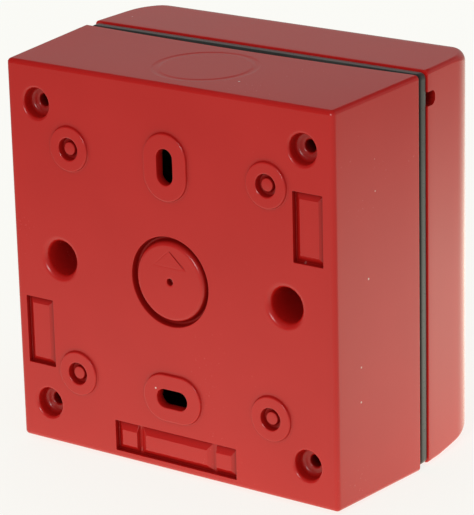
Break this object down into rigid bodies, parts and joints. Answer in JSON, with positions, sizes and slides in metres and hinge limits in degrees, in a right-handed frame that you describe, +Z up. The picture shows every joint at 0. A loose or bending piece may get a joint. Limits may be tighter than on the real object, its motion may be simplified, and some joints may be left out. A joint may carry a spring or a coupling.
{
  "type": "manual call point",
  "caption": "Surface-mounted manual call point: square red back box, rubber seal, tilting front cover, push-in operating element with drop flag, reset key and switch.",
  "frame": {"origin": "centre of the back panel's outer face, on the rear cable knock-out", "axes": "+Y out of the back towards the wall, the operating face looks along -Y, +Z up, +X to the right seen from the front"},
  "size_m": [0.0894, 0.0602, 0.0905],
  "materials": {
    "red_plastic": "smooth semi-gloss moulded red plastic",
    "seal_rubber": "matt dark grey moulded rubber",
    "black_plastic": "fine-textured moulded black plastic",
    "white_plastic": "satin moulded white plastic",
    "element_face": null,
    "flag_yellow": "satin yellow plastic",
    "zinc_steel": "zinc-plated steel",
    "spring_steel": "drawn spring wire",
    "terminal_brass": "nickel-washed brass",
    "circuit_laminate": "green solder mask on laminate",
    "terminal_green": "moulded green plastic",
    "led_red": "tinted clear plastic",
    "clear_pipe": "clear moulded light guide",
    "plunger_red": "smooth red plastic",
    "resistor_film_a": "beige lacquer with tinned leads",
    "resistor_film_b": "blue lacquer with tinned leads",
    "capacitor_sleeve": "dark shrink sleeve",
    "wire_red": "red insulation",
    "wire_black": "black insulation",
    "cam_metal": "die-cast zinc alloy"
  },
  "bodies": {
    "casing": {"back_box": "red_plastic", "box_gasket": "seal_rubber", "base_plate": "black_plastic", "mechanism_frame": "white_plastic", "circuit_board": "circuit_laminate", "terminal_block": "terminal_green", "resistor_1": "resistor_film_a", "resistor_2": "resistor_film_b", "surge_capacitor": "capacitor_sleeve", "status_led": "led_red", "light_pipe": "clear_pipe", "switch_body": "black_plastic", "switch_wire_red": "wire_red", "switch_wire_black": "wire_black", "drive_spring_left": "spring_steel", "drive_spring_right": "spring_steel", "latch_spring": "spring_steel", "case_screw_1": "zinc_steel", "terminal_screw_1": "terminal_brass", "case_screw_2": "zinc_steel", "terminal_screw_2": "terminal_brass", "case_screw_3": "zinc_steel", "terminal_screw_3": "terminal_brass", "case_screw_4": "zinc_steel", "terminal_screw_4": "terminal_brass", "module_screw_left": "zinc_steel", "board_screw_left": "zinc_steel", "switch_screw_left": "zinc_steel", "module_screw_right": "zinc_steel", "board_screw_right": "zinc_steel", "switch_screw_right": "zinc_steel"},
    "cover": {"front_cover": "red_plastic", "indicator_lens": "led_red"},
    "element": {"operating_element": "element_face", "element_carrier": "black_plastic"},
    "carriage": {"drop_carriage": "black_plastic", "indicator_flag": "flag_yellow"},
    "lever": {"switch_lever": "zinc_steel"},
    "plunger": {"switch_plunger": "plunger_red"},
    "key": {"key_barrel": "black_plastic", "key_cam": "cam_metal", "barrel_clip": "spring_steel", "barrel_seal": "seal_rubber"},
    "latch": {"cover_latch": "black_plastic"}
  },
  "joints": [
    {"name": "cover_tilt", "type": "hinge", "parent": "casing", "child": "cover", "pos_m": [0, -0.03415, 0.04545], "axis": [-1, 0, 0], "range_deg": [0, 60]},
    {"name": "element_press", "type": "slide", "parent": "casing", "child": "element", "axis": [0, 1, 0], "range_m": [0, 0.003]},
    {"name": "flag_drop", "type": "slide", "parent": "casing", "child": "carriage", "axis": [0, 0, -1], "range_m": [0, 0.00501], "deforming": ["drive_spring_left", "drive_spring_right"]},
    {"name": "lever_swing", "type": "hinge", "parent": "casing", "child": "lever", "pos_m": [-0.009, -0.0406, -0.0139], "axis": [0, 1, 0], "range_deg": [0, 16.01]},
    {"name": "plunger_travel", "type": "slide", "parent": "casing", "child": "plunger", "axis": [0, 0, -1], "range_m": [0, 0.00121]},
    {"name": "key_turn", "type": "hinge", "parent": "casing", "child": "key", "pos_m": [0, -0.05, -0.0295], "axis": [0, 1, 0], "range_deg": [0, 90]},
    {"name": "latch_lift", "type": "slide", "parent": "casing", "child": "latch", "axis": [0, 0, 1], "range_m": [0, 0.00161], "deforming": ["latch_spring"]}
  ],
  "couplings": [
    {"joint": "flag_drop", "follows": "element_press", "ratio": 1.6667},
    {"joint": "lever_swing", "follows": "element_press", "rad_per_m": 93.084},
    {"joint": "plunger_travel", "follows": "element_press", "ratio": 0.4},
    {"joint": "latch_lift", "follows": "key_turn", "m_per_rad": 0.0010186}
  ]
}
